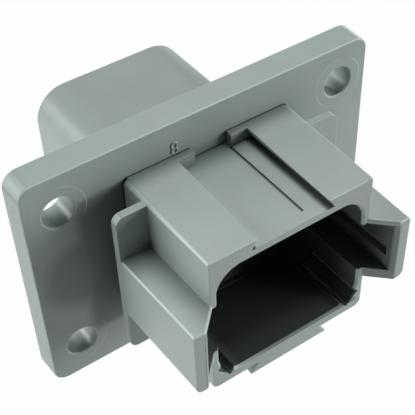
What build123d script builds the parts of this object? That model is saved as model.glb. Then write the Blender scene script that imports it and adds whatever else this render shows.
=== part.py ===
from build123d import *
import os
from math import radians, tan

os.makedirs("parts", exist_ok=True)

# Millimetres. X runs along the flange, -Y is the mating side, +Z is up.
# The origin is the centre of the four-hole pattern on the flange's front face.

# Mounting flange
flange_w = 62.1
flange_h = 41.7
flange_t = 4.7
flange_r = 2.5
flange_draft = 2.0
flange_edge = 0.3
hole_margin_x = 5.65
hole_margin_z = 6.75
hole_d = 5.33
hole_break = 0.2
figure_x = -5.9
figure_z = 16.15
figure_r = 0.48
figure_line = 0.26
figure_up = 0.15

# Shroud of the receptacle, measured on its front plane
body_len = 20.85
body_draft = 1.5
body_r_top = 0.45
body_r_bottom = 1.3
rim_r = 0.25
mouth_w = 26.2
mouth_h = 22.1
mouth_mid_z = 0.15
mouth_r = 4.1
mouth_draft = 0.7
mouth_lead = 0.4
side_wall = 1.4
top_wall = 3.15
bottom_wall = 2.05
floor_y = -5.5

# Dovetail slot in the top and rail under the bottom
slot_w = 12.7
slot_floor_w = 14.6
slot_deep = 1.6
stop_t = 1.4
stop_gap = 6.6
scribe_x = 3.1
scribe_w = 0.5
scribe_deep = 0.3
scribe_setback = 1.9
rail_root_w = 12.1
rail_tip_w = 14.7
rail_h = 1.65

# Key grooves in the two lower corners of the mouth
key_w = 3.3
key_inset_x = 0.6
key_inset_z = 0.45
key_len = 11.0
key_reach = 4.0

# Transverse collar plate
collar_out_x = 0.05
collar_out_top = 0.05
collar_out_bottom = 0.55
collar_r = 1.5
collar_gap = 5.1
collar_t = 1.3

# Latch boxes on both sides
box_out = 5.0
box_flare = 0.5
box_h = 12.35
box_mid_z = 0.025
box_ahead = 3.5
box_land = 1.9
box_r_low = 1.1
box_r_high = 0.4
channel_side_wall = 2.55
channel_top_wall = 0.9
channel_bottom_wall = 1.95
channel_behind = 1.0
channel_in = 0.9
groove_z = -0.6
groove_h = 2.0
groove_deep = 0.9
groove_land = 1.6

# Contact block, eight cavities in two rows of four
block_mid_z = 0.5
pitch_x = 6.0
pitch_z = 8.0
columns = 4
rows = 2
cavity_front_d = 3.0
cavity_d = 3.6
cavity_step = 3.5
tongue_side_wall = 1.0
tongue_slot_h = 2.4
tongue_slot_deep = 4.6

# Rear body of the receptacle, reaching back through the flange
tail_w = 28.5
tail_h = 21.6
tail_r = 5.8
tail_behind = 25.7
tail_fit = 0.3
tail_edge = 0.4
pocket_wall = 2.1
pocket_len = 11.0
seat_wall = 1.5
seat_len = 3.5

# Rear wire seal and its retainer
seal_gap = 0.3
seal_waist = 0.6
seal_rib = 1.2
seal_bore_d = 2.4
cap_t = 2.9
cap_fit = 0.2
cap_hole_d = 4.4
cap_hole_lead = 0.4
cap_edge = 0.3

# Values that follow from the sizes above
hole_dx = flange_w - 2 * hole_margin_x
hole_dz = flange_h - 2 * hole_margin_z
mouth_top = mouth_mid_z + mouth_h / 2
mouth_bottom = mouth_mid_z - mouth_h / 2
mouth_depth = body_len + floor_y
body_w = mouth_w + 2 * side_wall
body_top = mouth_top + top_wall
body_bottom = mouth_bottom - bottom_wall
body_mid_z = (body_top + body_bottom) / 2
body_flare = body_len * tan(radians(body_draft))
body_rear_w = body_w + 2 * body_flare
body_rear_h = body_top - body_bottom + 2 * body_flare
slot_floor_z = body_top - slot_deep
rail_tip_z = body_bottom - rail_h
key_in = key_reach / 2 / 2**0.5
key_x = mouth_w / 2 - key_inset_x - key_in
key_z = mouth_bottom + key_inset_z + key_in
box_half_front = body_w / 2 + box_out
box_half_rear = box_half_front + box_flare
box_front = body_len + box_ahead
box_top = box_mid_z + box_h / 2
box_bottom = box_mid_z - box_h / 2
collar_front = collar_gap + collar_t
collar_w = 2 * (box_half_rear + collar_out_x)
collar_top = body_top + collar_out_top
collar_bottom = body_bottom - collar_out_bottom
channel_half = box_half_front - channel_side_wall
channel_top = box_top - channel_top_wall
channel_bottom = box_bottom + channel_bottom_wall
channel_rear = collar_front + channel_behind
groove_front = box_front - groove_land
block_half = mouth_w / 2 - channel_in
tongue_slot_w = 2 * (block_half - tongue_side_wall)
tail_len = flange_t + tail_behind
seat_y = tail_len - seat_len
seat_w = tail_w - 2 * seat_wall
seat_h = tail_h - 2 * seat_wall
seat_r = tail_r - seat_wall
pocket_w = tail_w - 2 * pocket_wall
pocket_h = tail_h - 2 * pocket_wall
pocket_r = tail_r - pocket_wall
seal_front = tail_len - pocket_len + seal_gap
seal_len = pocket_len - seat_len - 2 * seal_gap
seal_w = pocket_w - 2 * seal_gap
seal_h = pocket_h - 2 * seal_gap
seal_r = pocket_r - seal_gap
over = 4.0

rear = Plane(origin=(0, 0, 0), x_dir=(-1, 0, 0), z_dir=(0, 1, 0))

# Flange moulding
# One drafted plate with an aperture that takes the rear body of the receptacle.
with BuildPart() as mounting_flange:
    with BuildSketch(rear):
        RectangleRounded(flange_w, flange_h, flange_r)
    extrude(amount=flange_t, taper=-flange_draft)
    fillet(mounting_flange.faces().sort_by(Axis.Y)[0].edges(), flange_edge)
    fillet(mounting_flange.faces().sort_by(Axis.Y)[-1].edges(), flange_edge)
    with BuildSketch(rear):
        with Locations((0, block_mid_z)):
            RectangleRounded(tail_w + 2 * tail_fit, tail_h + 2 * tail_fit, tail_r + tail_fit)
    extrude(amount=flange_t, mode=Mode.SUBTRACT)
    # Four fixing holes
    with BuildSketch(rear):
        with GridLocations(hole_dx, hole_dz, 2, 2):
            Circle(hole_d / 2)
    extrude(amount=flange_t, mode=Mode.SUBTRACT)
    bores = mounting_flange.edges().filter_by(GeomType.CIRCLE).filter_by(
        lambda e: abs(e.radius - hole_d / 2) < 0.01
    )
    chamfer(bores, hole_break)
    # Small raised figure above the receptacle
    with BuildSketch(Plane.XZ):
        with Locations((figure_x, figure_z + figure_r), (figure_x, figure_z - figure_r)):
            Circle(figure_r + figure_line / 2)
        with Locations((figure_x, figure_z + figure_r), (figure_x, figure_z - figure_r)):
            Circle(figure_r - figure_line / 2, mode=Mode.SUBTRACT)
    extrude(amount=figure_up)
mounting_flange.part.label = "mounting_flange"
export_step(mounting_flange.part, "parts/mounting_flange.step")

# Outside of one latch box, its front cut back at 45 degrees towards the shroud
with BuildPart() as latch_box:
    with BuildSketch(Plane.XY.offset(box_bottom)):
        with BuildLine():
            Polyline(
                (body_w / 2 - rim_r, -collar_front),
                (box_half_rear, -collar_front),
                (box_half_front, -box_front),
                (box_half_front - box_land, -box_front),
                (box_half_front - box_land - box_ahead, -body_len),
                close=True,
            )
        make_face()
    extrude(amount=box_top - box_bottom)
    fillet(latch_box.edges().group_by(Axis.Z)[0].sort_by(Axis.X)[-1], box_r_low)
    fillet(latch_box.faces().sort_by(Axis.Z)[-1].edges().sort_by(Axis.Y)[:3], box_r_high)

# Receptacle moulding
# Shroud, collar plate, latch boxes, contact block and rear body are one piece of plastic.
with BuildPart() as receptacle_housing:
    # Tapered outside of the shroud, with softened front edges
    with BuildSketch(Plane.XZ) as outline:
        with Locations((0, body_mid_z)):
            Rectangle(body_rear_w, body_rear_h)
        fillet(outline.vertices().group_by(Axis.Y)[-1], body_r_top + body_flare)
        fillet(outline.vertices().group_by(Axis.Y)[0], body_r_bottom + body_flare)
    extrude(amount=body_len, taper=body_draft)
    fillet(receptacle_housing.faces().sort_by(Axis.Y)[0].edges(), rim_r)
    # Mouth of the shroud down to the contact block, with a small lead-in
    with BuildSketch(Plane.XZ.offset(body_len)):
        with Locations((0, mouth_mid_z)):
            RectangleRounded(mouth_w, mouth_h, mouth_r)
    extrude(amount=-mouth_depth, taper=-mouth_draft, mode=Mode.SUBTRACT)
    lip = receptacle_housing.faces().sort_by(Axis.Y)[0].inner_wires()[0].edges()
    chamfer(lip, mouth_lead)
    # Rear body that reaches back through the flange
    with BuildSketch(rear):
        with Locations((0, block_mid_z)):
            RectangleRounded(tail_w, tail_h, tail_r)
    extrude(amount=tail_len)
    fillet(receptacle_housing.faces().sort_by(Axis.Y)[-1].edges(), tail_edge)
    # Collar plate
    with BuildSketch(Plane.XZ.offset(collar_front - collar_t)):
        with Locations((0, (collar_top + collar_bottom) / 2)):
            RectangleRounded(collar_w, collar_top - collar_bottom, collar_r)
        with Locations((0, mouth_mid_z)):
            Rectangle(mouth_w, mouth_h, mode=Mode.SUBTRACT)
    extrude(amount=collar_t)
    # Latch boxes
    add(latch_box.part)
    mirror(latch_box.part, about=Plane.YZ)
    # Rail under the shroud, wider at its tip
    with BuildSketch(Plane.XZ.offset(collar_front)):
        with BuildLine():
            Polyline(
                (-rail_root_w / 2, body_bottom + rim_r),
                (-rail_root_w / 2, body_bottom),
                (-rail_tip_w / 2, rail_tip_z),
                (rail_tip_w / 2, rail_tip_z),
                (rail_root_w / 2, body_bottom),
                (rail_root_w / 2, body_bottom + rim_r),
                close=True,
            )
        make_face()
    extrude(amount=body_len - collar_front)
    # Channels of the latch boxes, open to the front and to the mouth
    with BuildSketch(Plane.XY.offset(channel_bottom)):
        for side in (-1, 1):
            with Locations((side * (channel_half + block_half) / 2, -(box_front + channel_rear) / 2)):
                Rectangle(channel_half - block_half, box_front - channel_rear)
    extrude(amount=channel_top - channel_bottom, mode=Mode.SUBTRACT)
    with BuildSketch(Plane.XY.offset(groove_z - groove_h / 2)):
        for side in (-1, 1):
            with Locations((side * channel_half, -(groove_front + channel_rear) / 2)):
                Rectangle(2 * groove_deep, groove_front - channel_rear)
    extrude(amount=groove_h, mode=Mode.SUBTRACT)
    # Key grooves along the lower corners of the mouth
    with BuildSketch(Plane.XZ.offset(body_len)):
        for side in (-1, 1):
            with Locations((side * key_x, key_z)):
                Rectangle(key_w, key_reach, rotation=side * 45)
    extrude(amount=-key_len, mode=Mode.SUBTRACT)
    # Dovetail slot in the top, stopped short of the flange by two blocks
    with BuildSketch(Plane.XZ.offset(stop_t)):
        with BuildLine():
            Polyline(
                (-slot_floor_w / 2, slot_floor_z),
                (-slot_w / 2, body_top),
                (-slot_w / 2, body_top + over),
                (slot_w / 2, body_top + over),
                (slot_w / 2, body_top),
                (slot_floor_w / 2, slot_floor_z),
                close=True,
            )
        make_face()
    extrude(amount=body_len - stop_t, mode=Mode.SUBTRACT)
    with BuildSketch(Plane.XZ):
        with Locations((0, slot_floor_z + over / 2)):
            Rectangle(stop_gap, over)
    extrude(amount=stop_t, mode=Mode.SUBTRACT)
    with BuildSketch(Plane.XY.offset(slot_floor_z)):
        with Locations((scribe_x, -(stop_t + body_len - scribe_setback) / 2)):
            SlotOverall(body_len - scribe_setback - stop_t, scribe_w, rotation=90)
    extrude(amount=-scribe_deep, mode=Mode.SUBTRACT)
    # Contact cavities, narrower at the front
    with BuildSketch(Plane.XZ.offset(-floor_y)):
        with Locations((0, block_mid_z)):
            with GridLocations(pitch_x, pitch_z, columns, rows):
                Circle(cavity_front_d / 2)
    extrude(amount=-(tail_len - floor_y), mode=Mode.SUBTRACT)
    with BuildSketch(Plane.XZ.offset(-floor_y - cavity_step)):
        with Locations((0, block_mid_z)):
            with GridLocations(pitch_x, pitch_z, columns, rows):
                Circle(cavity_d / 2)
    extrude(amount=-(tail_len - floor_y - cavity_step), mode=Mode.SUBTRACT)
    # Slot between the two rows, where the tongue of a contact lock slides in
    with BuildSketch(Plane.XZ.offset(-floor_y)):
        with Locations((0, block_mid_z)):
            Rectangle(tongue_slot_w, tongue_slot_h)
    extrude(amount=-tongue_slot_deep, mode=Mode.SUBTRACT)
    # Seal pocket at the rear, with a wider seat for the retainer
    with BuildSketch(rear.offset(tail_len)):
        with Locations((0, block_mid_z)):
            RectangleRounded(pocket_w, pocket_h, pocket_r)
    extrude(amount=-pocket_len, mode=Mode.SUBTRACT)
    with BuildSketch(rear.offset(tail_len)):
        with Locations((0, block_mid_z)):
            RectangleRounded(seat_w, seat_h, seat_r)
    extrude(amount=-seat_len, mode=Mode.SUBTRACT)
receptacle_housing.part.label = "receptacle_housing"
export_step(receptacle_housing.part, "parts/receptacle_housing.step")

# Rear wire seal
# A ribbed block of soft rubber with one bore behind every cavity.
with BuildPart() as wire_seal:
    with BuildSketch(rear.offset(seal_front)):
        with Locations((0, block_mid_z)):
            RectangleRounded(seal_w - 2 * seal_waist, seal_h - 2 * seal_waist, seal_r - seal_waist)
    extrude(amount=seal_len)
    for start in (0, (seal_len - seal_rib) / 2, seal_len - seal_rib):
        with BuildSketch(rear.offset(seal_front + start)):
            with Locations((0, block_mid_z)):
                RectangleRounded(seal_w, seal_h, seal_r)
        extrude(amount=seal_rib)
    with BuildSketch(rear.offset(seal_front)):
        with Locations((0, block_mid_z)):
            with GridLocations(pitch_x, pitch_z, columns, rows):
                Circle(seal_bore_d / 2)
    extrude(amount=seal_len, mode=Mode.SUBTRACT)
wire_seal.part.label = "wire_seal"
export_step(wire_seal.part, "parts/wire_seal.step")

# Seal retainer
# A plate seated in the end of the rear body, with one flared hole behind every cavity.
with BuildPart() as seal_retainer:
    with BuildSketch(rear.offset(seat_y)):
        with Locations((0, block_mid_z)):
            RectangleRounded(seat_w - 2 * cap_fit, seat_h - 2 * cap_fit, seat_r - cap_fit)
    extrude(amount=cap_t)
    fillet(seal_retainer.faces().sort_by(Axis.Y)[-1].edges(), cap_edge)
    with BuildSketch(rear.offset(seat_y)):
        with Locations((0, block_mid_z)):
            with GridLocations(pitch_x, pitch_z, columns, rows):
                Circle(cap_hole_d / 2)
    extrude(amount=cap_t, mode=Mode.SUBTRACT)
    rims = seal_retainer.faces().sort_by(Axis.Y)[-1].inner_wires()
    chamfer([edge for wire in rims for edge in wire.edges()], cap_hole_lead)
seal_retainer.part.label = "seal_retainer"
export_step(seal_retainer.part, "parts/seal_retainer.step")
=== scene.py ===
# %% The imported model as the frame
from math import radians

import bpy
import numpy as np
from mathutils import Matrix, Vector

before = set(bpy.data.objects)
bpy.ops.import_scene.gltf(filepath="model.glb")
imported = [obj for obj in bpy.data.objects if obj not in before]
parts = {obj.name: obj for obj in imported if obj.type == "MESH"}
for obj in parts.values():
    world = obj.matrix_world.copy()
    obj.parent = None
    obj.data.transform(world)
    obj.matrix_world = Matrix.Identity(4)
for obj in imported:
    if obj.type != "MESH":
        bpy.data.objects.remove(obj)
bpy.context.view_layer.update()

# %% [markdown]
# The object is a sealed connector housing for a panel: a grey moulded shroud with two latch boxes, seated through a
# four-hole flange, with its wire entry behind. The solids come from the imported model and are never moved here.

MM = 0.001
print("solids:", sorted(parts))

# %% [markdown]
# A surface finish is a graph of nodes, and most of that graph is plain arithmetic on values that change from point to
# point. Field wraps one output socket, so the arithmetic can be written as ordinary Python: each operator adds one Math
# node. The reflected forms are there too, so that 1 - mask works as well as mask - 1.

# %% A socket that can be used in Python arithmetic
class Field:
    def __init__(self, tree, socket):
        self.tree = tree
        self.socket = socket

    def _math(self, operation, first, second):
        maths = self.tree.nodes.new("ShaderNodeMath")
        maths.operation = operation
        for slot, value in zip(maths.inputs, (first, second)):
            if isinstance(value, Field):
                self.tree.links.new(value.socket, slot)
            else:
                slot.default_value = value
        return Field(self.tree, maths.outputs[0])

    def __add__(self, other):
        return self._math("ADD", self, other)

    def __radd__(self, other):
        return self._math("ADD", other, self)

    def __sub__(self, other):
        return self._math("SUBTRACT", self, other)

    def __rsub__(self, other):
        return self._math("SUBTRACT", other, self)

    def __mul__(self, other):
        return self._math("MULTIPLY", self, other)

    def __rmul__(self, other):
        return self._math("MULTIPLY", other, self)

    def __truediv__(self, other):
        return self._math("DIVIDE", self, other)

    def __pow__(self, other):
        return self._math("POWER", self, other)

    def __lt__(self, other):
        return self._math("LESS_THAN", self, other)

    def __gt__(self, other):
        return self._math("GREATER_THAN", self, other)

    def __abs__(self):
        return self._math("ABSOLUTE", self, 0.0)


# %% [markdown]
# Everything that isn't plain arithmetic, such as noise, a colour ramp or the rounding of edges, comes from one method.
# It takes the node's type, then its settings, then what goes into its sockets, either a value or another Field.

# %% A finish under construction
class Finish:
    def __init__(self, name):
        self.material = bpy.data.materials.new(name)
        self.material.use_nodes = True
        self.tree = self.material.node_tree
        self.shader = self.tree.nodes["Principled BSDF"]

    def node(self, kind, settings=None, sockets=None, out=0):
        made = self.tree.nodes.new(kind)
        for name, value in (settings or {}).items():
            if name == "stops":
                ramp = made.color_ramp.elements
                while len(ramp) < len(value):
                    ramp.new(0.5)
                for stop, (place, shade) in zip(ramp, value):
                    stop.position = place
                    stop.color = (*shade, 1.0) if isinstance(shade, tuple) else (shade, shade, shade, 1.0)
            else:
                setattr(made, name, value)
        for name, value in (sockets or {}).items():
            if isinstance(value, Field):
                self.tree.links.new(value.socket, made.inputs[name])
            else:
                made.inputs[name].default_value = value
        return Field(self.tree, made.outputs[out])

    def feed(self, **wanted):
        for name, value in wanted.items():
            socket = self.shader.inputs[name.replace("_", " ").title()]
            if isinstance(value, Field):
                self.tree.links.new(value.socket, socket)
            else:
                socket.default_value = value

    def step(self, value, low, high, shape="SMOOTHSTEP"):
        """Rises from 0 where value is low to 1 where it is high, and stays there."""
        return self.node(
            "ShaderNodeMapRange",
            {"interpolation_type": shape},
            {"Value": value, "From Min": low, "From Max": high},
        )

    def most(self, first, *others):
        """The largest of the values."""
        for other in others:
            first = first._math("MAXIMUM", first, other)
        return first

    def mix(self, mask, base, top):
        """The colour base, turned towards the colour top where mask is 1."""
        return self.node("ShaderNodeMix", {"data_type": "RGBA"}, {"Factor": mask, 6: base, 7: top}, out=2)


# %% [markdown]
# The housing, flange and retainer are injection moulded from one grey-green plastic. On the real part it shows as a
# satin skin with very fine grain, cloudy flow shades that drift between greener and plainer grey, and edges that the
# mould rounds by a tenth of a millimetre. The grain and the clouds are noise on the piece's own coordinates. The Bevel
# node gives the rounded edge, and where its normal leaves the flat face's normal the colour is lightened as a painted
# highlight. Edges that the solid itself rounds are found by their slant, since nearly every other face looks straight
# along an axis. One Ambient Occlusion node with a long reach finds the deep places, such as the inside of the mouth,
# and these are darkened in the colour as painted shade. One with a short reach tells an outer edge from an inner one. A
# piece can name further places of painted shade, and places where that shade is weaker, in its own millimetres.

# %% Colours and sizes of the moulded skin
GREY = (0.368, 0.442, 0.406)
GREY_PLAIN = (0.384, 0.442, 0.411)
# GREY_DEEP and INSIDE_DEEP are the colours of painted shade.
GREY_DEEP = (0.004, 0.0052, 0.005, 1.0)
INSIDE_DEEP = (0.016, 0.0135, 0.013, 1.0)
# PALE is used for painted light and painted highlights, and also for the real pin-mark rings.
PALE = (0.60, 0.66, 0.625, 1.0)
PALE_GAIN = 1.65
PALE_LIFT = 0.03
DRIFT_SCALE = 45.0
DRIFT_RANGE = (0.4, 0.7)
CLOUD_SCALE = 110.0
CLOUD_MIDDLE = 0.42
CLOUD_TINT = 0.3
GRAIN_SCALE = 3600.0
GRAIN_HEIGHT = 0.02 * MM
GRAIN_STRENGTH = 0.2
PLASTIC_IOR = 1.5
print("scales of drift, cloud and grain:", DRIFT_SCALE, CLOUD_SCALE, GRAIN_SCALE)

# %% Where the painted edge highlights and the painted shade of hollows begin and end
EDGE_SOFT = 0.18 * MM
EDGE_TURN = (0.015, 0.14)
EDGE_SLANT = (0.015, 0.10)
EDGE_HIGHLIGHT = 0.85
NEAR_REACH = 2.5 * MM
NEAR_OPEN = (0.42, 0.62)
HOLLOW_REACH = 30.0 * MM
HOLLOW_STOPS = [(0.0, 0.25), (0.15, 0.50), (0.25, 0.75), (0.35, 0.9), (0.5, 0.97), (0.7, 1.0)]
GRAIN_GLOSS = 0.14
CLOUD_GLOSS = 0.08
GLOSS_MIDDLE = 0.11
LIGHT_GLOSS = 0.24
print("edges are rounded by", round(EDGE_SOFT / MM, 2), "mm")


# %% Moulded plastic
def moulded(name, colour, rough=0.36, deep=GREY_DEEP, dull=0.0, painted_shade_places=None, light_places=None, bright_edges=None):
    """A moulded finish, its colour so far, the piece's coordinates and the same in millimetres."""
    finish = Finish(name)
    place = finish.node("ShaderNodeTexCoord", out="Object")
    spot = [finish.node("ShaderNodeSeparateXYZ", sockets={0: place}, out=axis) / MM for axis in range(3)]
    clouds = finish.node("ShaderNodeTexNoise", sockets={"Vector": place, "Scale": CLOUD_SCALE, "Detail": 4.0})
    drift = finish.node("ShaderNodeTexNoise", sockets={"Vector": place, "Scale": DRIFT_SCALE, "Detail": 2.0})
    grain = finish.node("ShaderNodeTexNoise", sockets={"Vector": place, "Scale": GRAIN_SCALE, "Detail": 2.0})

    # An edge is where the rounded normal, or the solid's own, turns away from the flat faces; there the colour gets a
    # painted highlight.
    rounded = finish.node("ShaderNodeBevel", {"samples": 8}, {"Radius": EDGE_SOFT})
    face = finish.node("ShaderNodeNewGeometry", out="Normal")
    along = finish.node("ShaderNodeVectorMath", {"operation": "DOT_PRODUCT"}, {0: rounded, 1: face}, out="Value")
    near_sky = finish.node("ShaderNodeAmbientOcclusion", {"samples": 12}, {"Distance": NEAR_REACH}, out="AO")
    edge = finish.step(1 - along, *EDGE_TURN)
    if bright_edges:
        lean = [abs(finish.node("ShaderNodeSeparateXYZ", sockets={0: face}, out=axis)) for axis in range(3)]
        slant = finish.step(1 - finish.most(*lean), *EDGE_SLANT)
        edge = finish.most(edge, slant) * bright_edges(finish, *spot)
    edge = edge * finish.step(near_sky, *NEAR_OPEN)

    # A hollow is where little open sky is in reach, and there the colour gets painted shade.
    open_sky = finish.node("ShaderNodeAmbientOcclusion", {"samples": 16}, {"Distance": HOLLOW_REACH}, out="AO")
    hollow = 1 - finish.node("ShaderNodeValToRGB", {"stops": HOLLOW_STOPS}, {0: open_sky})
    gloss = grain * GRAIN_GLOSS + clouds * CLOUD_GLOSS + (rough - GLOSS_MIDDLE)
    # Named places weaken the painted shade of hollows there.
    if light_places:
        lighter = light_places(finish, *spot)
        hollow = hollow * (1 - lighter)
        gloss = gloss - lighter * LIGHT_GLOSS

    # The colour is built up from the plain skin, through the painted edge highlights, to the painted shade of the
    # darkest places.
    plain = tuple(c * p / g for c, p, g in zip(colour, GREY_PLAIN, GREY))
    pale = tuple(min(1.0, c * PALE_GAIN + PALE_LIFT) for c in colour)
    shade = finish.mix(finish.step(drift, *DRIFT_RANGE), (*colour, 1.0), (*plain, 1.0))
    shade = finish.mix((clouds - CLOUD_MIDDLE) * CLOUD_TINT, shade, (*pale, 1.0))
    # Painted highlight: edges are lightened towards the pale colour.
    shade = finish.mix(edge * EDGE_HIGHLIGHT, shade, (*pale, 1.0))
    # Painted shade: hollows, and then the named places, are darkened towards the deep colour.
    shade = finish.mix(hollow, shade, deep)
    if painted_shade_places:
        darker = painted_shade_places(finish, *spot)
        shade = finish.mix(darker, shade, deep)
        gloss = gloss + darker * dull
    bump = finish.node(
        "ShaderNodeBump",
        sockets={"Strength": GRAIN_STRENGTH, "Distance": GRAIN_HEIGHT, "Height": grain, "Normal": rounded},
    )
    finish.feed(base_color=shade, roughness=gloss, normal=bump)
    finish.shader.inputs["IOR"].default_value = PLASTIC_IOR
    return finish, shade, place, spot


# %% [markdown]
# The housing has places that its neighbours keep in shade, and the colour there gets painted shade. Each is a box in
# millimetres with a weight from 0 to 1, and where two numbers stand in brackets the box fades in between them. The
# mouth and the latch channels come first, because the mask for painted edge highlights needs them as well.

# %% The mouth and the latch channels
MOUTH_HALF = 13.3
MOUTH_MID_Z = 0.15
MOUTH_HALF_H = 11.4
MOUTH_FRONT_Y = -20.5
SHOULDER_Y = -1.3
CHANNEL_INNER = 12.7
CHANNEL_OUTER = 17.1
CHANNEL_MID_Z = 0.55
CHANNEL_HALF_H = 4.9
CHANNEL_REAR_Y = -7.0


def within_mouth(x, y, z):
    """1 inside the mouth of the shroud, behind its lead-in."""
    across = (abs(x) < MOUTH_HALF) * (abs(z - MOUTH_MID_Z) < MOUTH_HALF_H)
    return across * (y > MOUTH_FRONT_Y) * (y < SHOULDER_Y)


def within_channels(x, y, z):
    """1 inside the two latch channels."""
    across = (abs(x) > CHANNEL_INNER) * (abs(x) < CHANNEL_OUTER) * (abs(z - CHANNEL_MID_Z) < CHANNEL_HALF_H)
    return across * (y < CHANNEL_REAR_Y)


print("mouth", round(2 * MOUTH_HALF, 1), "by", round(2 * MOUTH_HALF_H, 1), "mm")

# %% [markdown]
# All of these are painted shade. The mouth darkens towards its floor and the channels towards their upper side. The
# dovetail slot is dark under its slanted sides and in its scribed line. On the latch boxes it is the inner side of the
# frames and the lower cut faces. The left face of the collar, the lower lip of the mouth and the top of the rear body
# are only a little darker. Last come the hairline where the shroud meets the flange and the gap beside it.

# %% Sizes of the places of painted shade
MOUTH_FADE_Y = (-19.5, -14.5)
CHANNEL_FADE_Y = (-27.0, -18.5)
CHANNEL_FADE_Z = (-5.5, 0.0)
SLOT_HALF = 7.3
SLOT_FLOOR_Z = 12.75
SLOT_FLOOR_BAND = 0.06
UNDERCUT_RIGHT = (SLOT_HALF - 1.8, SLOT_HALF - 0.6)
UNDERCUT_LEFT = 0.8 - SLOT_HALF
SCRIBE_X = 3.1
SCRIBE_HALF = 0.26
SCRIBE_MID_Z = SLOT_FLOOR_Z - 0.2
SCRIBE_HALF_H = 0.18
SCRIBE_FRONT_Y = -19.2
FRAME_EDGE = 17.8
FRAME_FRONT_Y = -23.0
CUT_FRONT_Y = -20.9
COLLAR_Y = -6.4
COLLAR_BAND = 0.05
COLLAR_LOW_Z = 6.4
BODY_HALF = 14.3
LIP_FRONT_Y = -20.3
LIP_HIGH_Z = -10.4
LIP_LOW_Z = -11.28
LIP_FADE_X = (-10.0, -3.0)
REAR_Y = 4.0
REAR_TOP_Z = 9.0
FLANGE_FACE_Y = 0.1
HAIRLINE_FADE_Y = (-0.24, -0.12)
SIDE_GAP_FADE_Y = (-0.55, -0.4)

# %% Weights of the painted shade
MOUTH_DARK = 0.6
MOUTH_DEEPER = 0.22
CHANNEL_DARK = 0.45
CHANNEL_DEEPER = 0.35
UNDERCUT_DARK = 0.8
SCRIBE_DARK = 0.55
FRAME_DARK = 0.4
CUT_DARK = 0.35
COLLAR_DARK = 0.2
LIP_DARK = 0.55
REAR_DARK = 0.07
HAIRLINE_DARK = 0.9
SIDE_GAP_DARK = 0.95
DARK_IS_DULLER = 0.45


# %% Painted shade of the housing
def housing_painted_shade(finish, x, y, z):
    """The strongest painted shade of these places, from 0 to 1."""
    mouth = within_mouth(x, y, z) * (finish.step(y, *MOUTH_FADE_Y) * MOUTH_DEEPER + MOUTH_DARK)
    channel = within_channels(x, y, z) * finish.step(y, *CHANNEL_FADE_Y)
    channel = channel * (finish.step(z, *CHANNEL_FADE_Z) * CHANNEL_DEEPER + CHANNEL_DARK)

    slot_floor = (abs(z - SLOT_FLOOR_Z) < SLOT_FLOOR_BAND) * (abs(x) < SLOT_HALF) * (y < SHOULDER_Y)
    undercut = slot_floor * finish.most(finish.step(x, *UNDERCUT_RIGHT), x < UNDERCUT_LEFT) * UNDERCUT_DARK
    scribe = (abs(x - SCRIBE_X) < SCRIBE_HALF) * (abs(z - SCRIBE_MID_Z) < SCRIBE_HALF_H)
    scribe = scribe * (y > SCRIBE_FRONT_Y) * SCRIBE_DARK

    frame_inside = (y < FRAME_FRONT_Y) * (abs(z - CHANNEL_MID_Z) < CHANNEL_HALF_H) * (abs(x) < FRAME_EDGE) * FRAME_DARK
    cut_low = (abs(x) > MOUTH_HALF) * (abs(x) < FRAME_EDGE) * (z < CHANNEL_MID_Z - CHANNEL_HALF_H)
    cut_low = cut_low * (y < CUT_FRONT_Y) * CUT_DARK

    collar_face = (x < -BODY_HALF) * (z > COLLAR_LOW_Z) * (abs(y - COLLAR_Y) < COLLAR_BAND) * COLLAR_DARK
    lower_lip = (y < LIP_FRONT_Y) * (z < LIP_HIGH_Z) * (z > LIP_LOW_Z) * (abs(x) < MOUTH_HALF)
    lower_lip = lower_lip * finish.step(x, *LIP_FADE_X) * LIP_DARK
    rear_top = (y > REAR_Y) * (z > REAR_TOP_Z) * REAR_DARK

    hairline = finish.step(y, *HAIRLINE_FADE_Y) * (y < FLANGE_FACE_Y) * HAIRLINE_DARK
    side_gap = (abs(x) > BODY_HALF) * finish.step(y, *SIDE_GAP_FADE_Y) * (y < FLANGE_FACE_Y) * SIDE_GAP_DARK
    inner = finish.most(mouth, channel, undercut, scribe, frame_inside, cut_low)
    return finish.most(inner, collar_face, lower_lip, rear_top, hairline, side_gap)


# %% [markdown]
# Painted edge highlights are left out in the mouth, in the channels and on the rear body, and they are weaker high up
# on the shroud's right side.

# %% Painted edge highlights of the housing
EDGES_END_Y = -0.3
TOP_CORNER_Z = 12.0
TOP_CORNER_WEAKER = 0.6


def housing_edges(finish, x, y, z):
    """Weight of the painted edge highlights: 1 on the outside of the shroud and boxes, 0 in the mouth, the channels and
    on the rear body.
    """
    outside = (1 - within_mouth(x, y, z)) * (1 - within_channels(x, y, z)) * (y < EDGES_END_Y)
    return outside * (1 - (x > MOUTH_HALF) * (z > TOP_CORNER_Z) * TOP_CORNER_WEAKER)


grey_housing, housing_shade, _, housing_spot = moulded(
    "housing_grey",
    GREY,
    deep=INSIDE_DEEP,
    dull=DARK_IS_DULLER,
    painted_shade_places=housing_painted_shade,
    bright_edges=housing_edges,
)
print("housing nodes:", len(grey_housing.tree.nodes))

# %% [markdown]
# The floor of the dovetail slot gets painted light towards its front left, so it is a little paler there. The retainer
# behind is a shade darker than the rest and plainer, so it needs no places of its own.

# %% Painted light on the slot floor, and the retainer
SLOT_PAINTED_LIGHT_HALF = SLOT_HALF - 0.8
SLOT_PAINTED_LIGHT_FADE_X = (-1.0, -5.5)
SLOT_PAINTED_LIGHT_FADE_Y = (-5.0, -12.0)
SLOT_PAINTED_LIGHT = 0.2
RETAINER_SHADE = 0.85
RETAINER_ROUGH = 0.44

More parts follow.
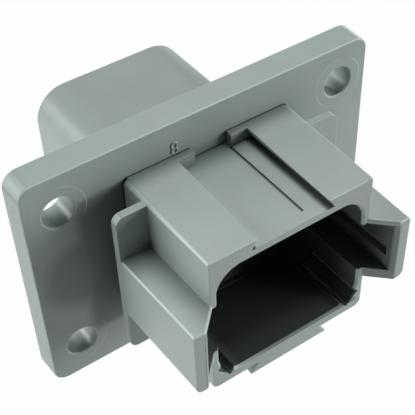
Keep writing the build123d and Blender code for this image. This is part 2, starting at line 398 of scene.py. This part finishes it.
# Painted light: the front left of the slot floor is lightened towards PALE.
slot_painted_light = (abs(housing_spot[2] - SLOT_FLOOR_Z) < SLOT_FLOOR_BAND) * (abs(housing_spot[0]) < SLOT_PAINTED_LIGHT_HALF)
slot_painted_light = slot_painted_light * grey_housing.step(housing_spot[0], *SLOT_PAINTED_LIGHT_FADE_X) * grey_housing.step(housing_spot[1], *SLOT_PAINTED_LIGHT_FADE_Y)
grey_housing.feed(base_color=grey_housing.mix(slot_painted_light * SLOT_PAINTED_LIGHT, housing_shade, PALE))
grey_retainer = moulded("retainer_grey", tuple(c * RETAINER_SHADE for c in GREY), rough=RETAINER_ROUGH)[0]
print("finishes:", len(bpy.data.materials))

# %% [markdown]
# The fixing holes are bored smooth and are open at both ends, so on their walls the painted shade of hollows is
# weakened and the surface is glossier. Around each hole the flange carries a faint ring, the mark of the round pin
# insert in the mould. It is a groove a few hundredths of a millimetre deep, so it is drawn by the finish: the distance
# from the nearest hole centre is worked out from the coordinates, folded over so that one formula serves all four
# holes. Noise breaks the ring into arcs. The front edge of each bore gets a painted highlight. Left of the shroud the
# flange's front gets a painted shadow of the shroud, and its upper left corner gets painted shade.

# %% Places on the flange
HOLE_X = 25.4
HOLE_Z = 14.1
BORE_WALL_R = 2.685
BORE_R = 2.9
BORE_LIGHT = 0.7
BORE_LESS_RIGHT = 0.3
BORE_BEGINS_Y = 0.3
RING_R = 4.45
RING_EDGE = (0.03, 0.1)
RING_LIGHT = 0.8
RING_GAPS = (0.42, 0.58)
RING_GAP_SCALE = 160.0
RIM_REACH_Y = 0.22
RIM_HIGHLIGHT = 0.6
FRONT_FACE_Y = 0.2
BLOCK_LEFT = (-24.2, -21.8)
BLOCK_RIGHT = (-15.5, -12.5)
BLOCK_TOP = (13.4, 15.2)
BLOCK_BOTTOM = (-14.3, -12.2)
BLOCK_DARK = 0.47
BULGE_X = -22.5
BULGE_Z = 0.5
BULGE_HALF_X = 8.0
BULGE_HALF_Z = 7.5
BULGE_FADE = (0.35, 1.25)
BULGE_DARK = 0.42
CORNER_X = (-29.0, -29.8)
CORNER_Z = (18.4, 19.3)
CORNER_DARK = 0.3
FLANGE_ROUGH = 0.48


# %% Masks of the flange
def from_hole(x, z):
    """Distance from the nearest of the four hole centres."""
    across = abs(x) - HOLE_X
    upward = abs(z) - HOLE_Z
    return (across * across + upward * upward) ** 0.5


def flange_light(finish, x, y, z):
    """The bores of the four holes, where the painted shade of hollows is weaker."""
    return (from_hole(x, z) < BORE_R) * (BORE_LIGHT - (x > 0.0) * BORE_LESS_RIGHT)


def flange_painted_shade(finish, x, y, z):
    """Painted shadow of the shroud to its left, a soft block with an oval bulge towards the flange's end, and painted
    shade on the upper left corner.
    """
    sideways = finish.step(x, *BLOCK_LEFT) * (1 - finish.step(x, *BLOCK_RIGHT))
    block = sideways * (1 - finish.step(z, *BLOCK_TOP)) * finish.step(z, *BLOCK_BOTTOM)
    across = (x - BULGE_X) / BULGE_HALF_X
    upward = (z - BULGE_Z) / BULGE_HALF_Z
    bulge = 1 - finish.step(across * across + upward * upward, *BULGE_FADE)
    front = finish.most(block * BLOCK_DARK, bulge * BULGE_DARK) * (y < FRONT_FACE_Y)
    corner = finish.step(x, *CORNER_X) * finish.step(z, *CORNER_Z) * (y > FRONT_FACE_Y) * CORNER_DARK
    return finish.most(front, corner)


def flange_edges(finish, x, y, z):
    """Weight of the painted edge highlights: 1 everywhere but on the long walls of the bores."""
    return 1 - (from_hole(x, z) < BORE_WALL_R) * (y > BORE_BEGINS_Y)


# %% Flange finish with the mould's pin marks and the painted highlight on the bore rims
grey_flange, flange_shade, flange_place, flange_spot = moulded(
    "flange_grey",
    GREY,
    rough=FLANGE_ROUGH,
    painted_shade_places=flange_painted_shade,
    light_places=flange_light,
    bright_edges=flange_edges,
)
reach = from_hole(flange_spot[0], flange_spot[2])
ring = 1 - grey_flange.step(abs(reach - RING_R), *RING_EDGE)
broken = grey_flange.node(
    "ShaderNodeTexNoise", sockets={"Vector": flange_place, "Scale": RING_GAP_SCALE, "Detail": 1.0}
)
ring = ring * (flange_spot[1] < FLANGE_FACE_Y) * grey_flange.step(broken, *RING_GAPS) * RING_LIGHT
# Painted highlight: the front edge of each bore is lightened towards PALE.
rim_highlight = (reach < BORE_R) * (flange_spot[1] < RIM_REACH_Y) * RIM_HIGHLIGHT
grey_flange.feed(base_color=grey_flange.mix(grey_flange.most(ring, rim_highlight), flange_shade, PALE))
print("pin marks at radius", RING_R)

# %% [markdown]
# The wire seal is soft silicone: a matt, slightly waxy orange red that lets a little light into its skin.

# %% Silicone
SEAL_GRAIN_SCALE = 700.0
SEAL_DEEP = (0.52, 0.075, 0.022, 1.0)
SEAL_PALE = (0.68, 0.13, 0.04, 1.0)
SEAL_GLOSS_SPAN = 0.2
SEAL_GLOSS_LEAST = 0.5

silicone = Finish("silicone_red")
seal_place = silicone.node("ShaderNodeTexCoord", out="Object")
seal_cloud = silicone.node(
    "ShaderNodeTexNoise", sockets={"Vector": seal_place, "Scale": SEAL_GRAIN_SCALE, "Detail": 4.0}
)
seal_shade = silicone.mix(seal_cloud, SEAL_DEEP, SEAL_PALE)
seal_bump = silicone.node("ShaderNodeBump", sockets={"Strength": 0.3, "Distance": 0.02 * MM, "Height": seal_cloud})
silicone.feed(base_color=seal_shade, roughness=seal_cloud * SEAL_GLOSS_SPAN + SEAL_GLOSS_LEAST, normal=seal_bump)
silicone.shader.inputs["Subsurface Weight"].default_value = 0.08
silicone.shader.inputs["Subsurface Radius"].default_value = (0.0012, 0.0005, 0.0003)
print("seal nodes:", len(silicone.tree.nodes))

# %% [markdown]
# Each solid has one slot, and its finish goes into that slot. The solid itself isn't touched.

# %% Finishes on the solids
finishes = {
    "mounting_flange": grey_flange,
    "receptacle_housing": grey_housing,
    "wire_seal": silicone,
    "seal_retainer": grey_retainer,
}
for name, finish in finishes.items():
    mesh = parts[name].data
    mesh.materials.clear()
    mesh.materials.append(finish.material)
    print(name, len(mesh.polygons), "faces", finish.material.name)

# %% [markdown]
# The floor is a plain white table well below the part, because the part is held by its flange and doesn't stand on
# anything. To the camera it shows almost plain white, with a trace of its own shading so that a shadow still reads.

# %% Floor
FLOOR_Z = -0.11
FLOOR_HALF = 2.5
FLOOR_WHITE = 0.97

corners = np.array([[-1, -1], [1, -1], [1, 1], [-1, 1]]) * FLOOR_HALF
points = np.column_stack([corners, np.full(4, FLOOR_Z)])
floor_mesh = bpy.data.meshes.new("table_top")
floor_mesh.from_pydata(points.tolist(), [], [(0, 1, 2, 3)])
floor = bpy.data.objects.new("table_top", floor_mesh)
bpy.context.collection.objects.link(floor)

table = Finish("table_white")
seen = table.node("ShaderNodeLightPath", out="Is Camera Ray")
white = table.node("ShaderNodeEmission", sockets={"Color": (1.0, 1.0, 1.0, 1.0), "Strength": 1.0})
table.shader.inputs["Base Color"].default_value = (0.86, 0.86, 0.86, 1.0)
table.shader.inputs["Roughness"].default_value = 0.9
table_skin = Field(table.tree, table.shader.outputs[0])
shown = table.node("ShaderNodeMixShader", sockets={0: seen * FLOOR_WHITE, 1: table_skin, 2: white})
table.tree.links.new(shown.socket, table.tree.nodes["Material Output"].inputs["Surface"])
floor_mesh.materials.append(table.material)
print("floor at", FLOOR_Z)

# %% [markdown]
# The light is a plain studio set: a broad soft box above, a weak one from the left, a narrow one behind on the left
# that draws a streak along rounded edges, a faint one behind on the right, one from the right and front, and a dim even
# sky that only fills the shadows. To the camera the sky is plain white.

# %% Sky
sky = bpy.data.worlds.new("studio_sky")
sky.use_nodes = True
bpy.context.scene.world = sky
wires = sky.node_tree
back = wires.nodes["Background"]
path = wires.nodes.new("ShaderNodeLightPath")
lit = wires.nodes.new("ShaderNodeBackground")
chosen = wires.nodes.new("ShaderNodeMixShader")
back.inputs["Color"].default_value = (0.97, 0.98, 1.0, 1.0)
back.inputs["Strength"].default_value = 0.02
lit.inputs["Color"].default_value = (1.0, 1.0, 1.0, 1.0)
lit.inputs["Strength"].default_value = 1.0
wires.links.new(path.outputs["Is Camera Ray"], chosen.inputs[0])
wires.links.new(back.outputs[0], chosen.inputs[1])
wires.links.new(lit.outputs[0], chosen.inputs[2])
wires.links.new(chosen.outputs[0], wires.nodes["World Output"].inputs["Surface"])

# %% Soft boxes
AIM = Vector((0.0, -0.005, 0.0))


def soft_box(name, place, width, watts):
    """A square area light of that width at place, turned to face the part."""
    lamp = bpy.data.lights.new(name, "AREA")
    lamp.shape = "SQUARE"
    lamp.size = width
    lamp.energy = watts
    stand = bpy.data.objects.new(name, lamp)
    stand.location = place
    stand.rotation_euler = (AIM - Vector(place)).to_track_quat("-Z", "Y").to_euler()
    bpy.context.collection.objects.link(stand)
    print(name, watts, "W")
    return stand


soft_box("top_box", (0.14, 0.17, 0.59), 0.38, 2.42)
soft_box("left_box", (-0.53, 0.20, 0.14), 0.38, 1.5)
soft_box("back_box", (-0.44, 0.39, 0.24), 0.22, 1.15)
soft_box("rear_box", (0.55, 0.36, 0.04), 0.40, 0.42)
soft_box("right_box", (0.75, -0.63, 0.14), 0.50, 5.9)

# %% [markdown]
# The camera stands where the photograph was taken from, to the left of the mouth and above it. Its place, direction
# and focal length were solved from straight edges of known direction and the four round holes.

# %% Camera
EYE = Vector((-0.06308, -0.09557, 0.10953))
RIGHT = Vector((0.81999741, -0.57154849, -0.03060335))
DOWN = Vector((-0.41216593, -0.55254216, -0.72444214))
AHEAD = Vector((0.39714417, 0.60665434, -0.68865595))
FOCAL_PX = 991.1
FRAME_PX = 415.0

view = bpy.data.cameras.new("photo_camera")
view.sensor_width = 36.0
view.lens = FOCAL_PX * view.sensor_width / FRAME_PX
view.clip_start = 0.005
camera = bpy.data.objects.new("photo_camera", view)
turn = Matrix((RIGHT, -DOWN, -AHEAD)).transposed()
camera.matrix_world = Matrix.Translation(EYE) @ turn.to_4x4()
bpy.context.collection.objects.link(camera)
bpy.context.scene.camera = camera
bpy.context.scene.view_settings.view_transform = "Standard"
print("lens", round(view.lens, 1), "mm")
